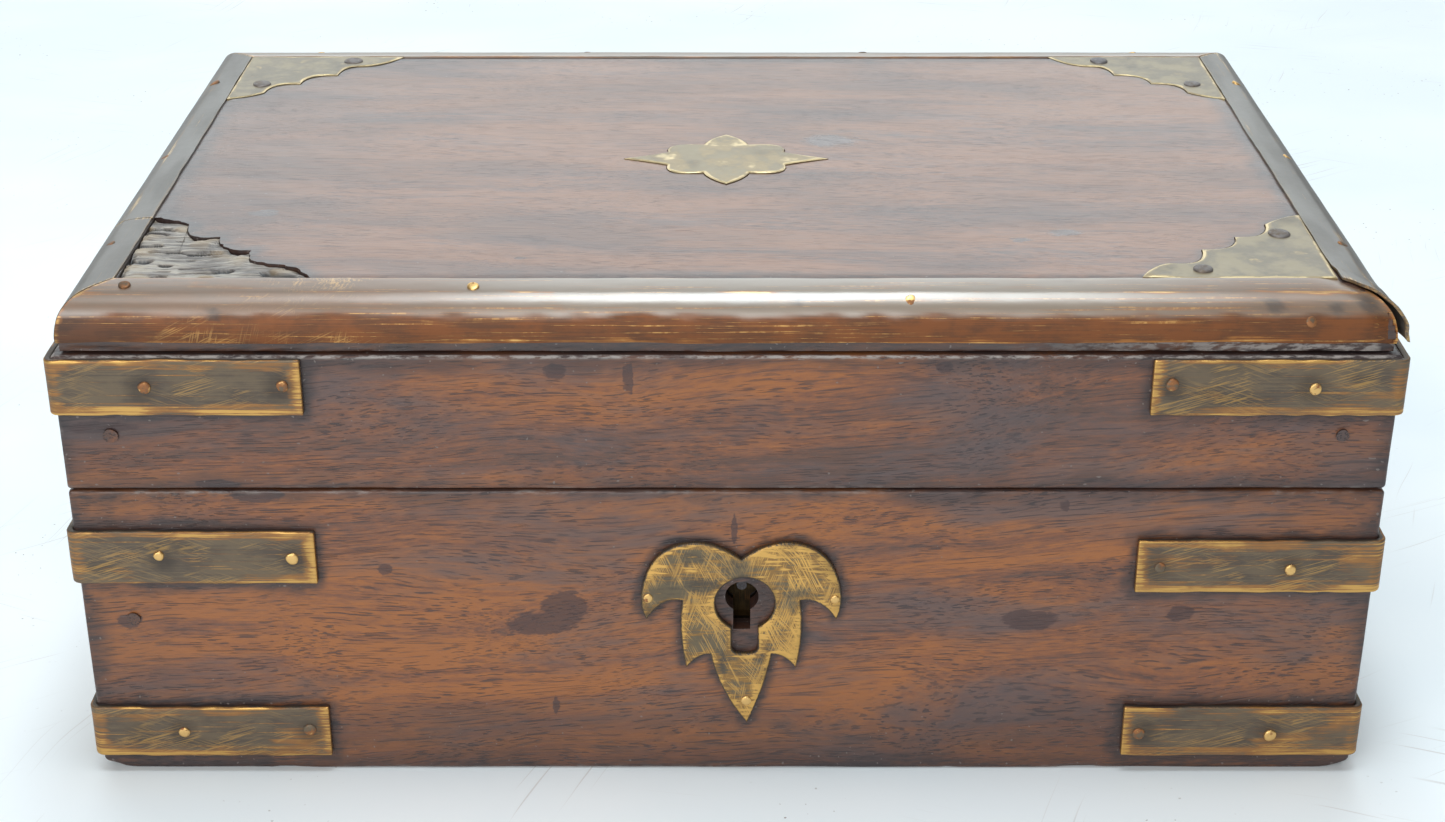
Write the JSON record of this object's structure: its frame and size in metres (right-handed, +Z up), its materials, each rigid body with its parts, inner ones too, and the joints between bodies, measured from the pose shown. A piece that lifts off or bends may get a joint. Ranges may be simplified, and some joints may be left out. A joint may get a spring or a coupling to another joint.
{
  "type": "tea caddy",
  "caption": "Low rectangular hardwood box with a hinged lid, brass corner straps, brass-clad lid edge, inlaid plates, leaf-shaped escutcheon, inner partitions and a sliding-bolt lock.",
  "frame": {"origin": "on the surface that the box stands on, under the middle of its overall size", "axes": "+X to the right as seen from the front, +Y from the front towards the hinges, +Z up"},
  "size_m": [0.2574, 0.1684, 0.1043],
  "materials": {
    "hardwood": "old wax over open grain",
    "inner_wood": "bare, darkened",
    "strap_brass": "dark patina, rubbed edges",
    "edge_brass": "brown patina, scratched",
    "plate_brass": "dull, pale patina",
    "leaf_brass": "scratched bright",
    "lock_brass": "dull",
    "iron": "dark, oxidised"
  },
  "bodies": {
    "case": {"case_front": "hardwood", "case_back": "hardwood", "case_left": "hardwood", "case_right": "hardwood", "case_bottom": "inner_wood", "partition_left": "inner_wood", "partition_right": "inner_wood", "bottom_nails": "iron", "case_corner_pegs": "inner_wood", "strap_low_front_left": "strap_brass", "strap_low_front_right": "strap_brass", "strap_low_back_left": "strap_brass", "strap_low_back_right": "strap_brass", "strap_mid_front_left": "strap_brass", "strap_mid_front_right": "strap_brass", "strap_mid_back_left": "strap_brass", "strap_mid_back_right": "strap_brass", "case_strap_nails": "strap_brass", "escutcheon": "leaf_brass", "escutcheon_pins": "leaf_brass", "lock_case": "lock_brass", "lock_cap": "lock_brass", "lock_ward": "iron", "key_post": "iron", "lock_screws": "iron", "hinge_left_case_leaf": "lock_brass", "hinge_right_case_leaf": "lock_brass", "hinge_left_pin": "iron", "hinge_right_pin": "iron", "hinge_case_screws": "iron"},
    "lid": {"lid_front": "hardwood", "lid_back": "hardwood", "lid_left": "hardwood", "lid_right": "hardwood", "lid_top": "hardwood", "lid_top_nails": "iron", "lid_corner_pegs": "inner_wood", "strap_lid_front_left": "strap_brass", "strap_lid_front_right": "strap_brass", "strap_lid_back_left": "strap_brass", "strap_lid_back_right": "strap_brass", "lid_strap_nails": "strap_brass", "edge_front": "edge_brass", "edge_back": "edge_brass", "edge_left": "edge_brass", "edge_left_patch": "edge_brass", "edge_right": "edge_brass", "edge_nails": "edge_brass", "corner_plate_front_right": "plate_brass", "corner_plate_back_left": "plate_brass", "corner_plate_back_right": "plate_brass", "corner_plate_pins": "iron", "centre_plate": "plate_brass", "link_plate": "lock_brass", "link_screws": "iron", "hinge_left_lid_leaf": "lock_brass", "hinge_right_lid_leaf": "lock_brass", "hinge_lid_screws": "iron"},
    "bolt": {"lock_bolt": "lock_brass", "bolt_spring": "iron"}
  },
  "joints": [
    {"name": "lid_hinge", "type": "hinge", "parent": "case", "child": "lid", "pos_m": [0, 0.0817, 0.064], "axis": [-1, 0, 0], "range_deg": [0, 105]},
    {"name": "bolt_slide", "type": "slide", "parent": "case", "child": "bolt", "axis": [1, 0, 0], "range_m": [0, 0.005]}
  ]
}
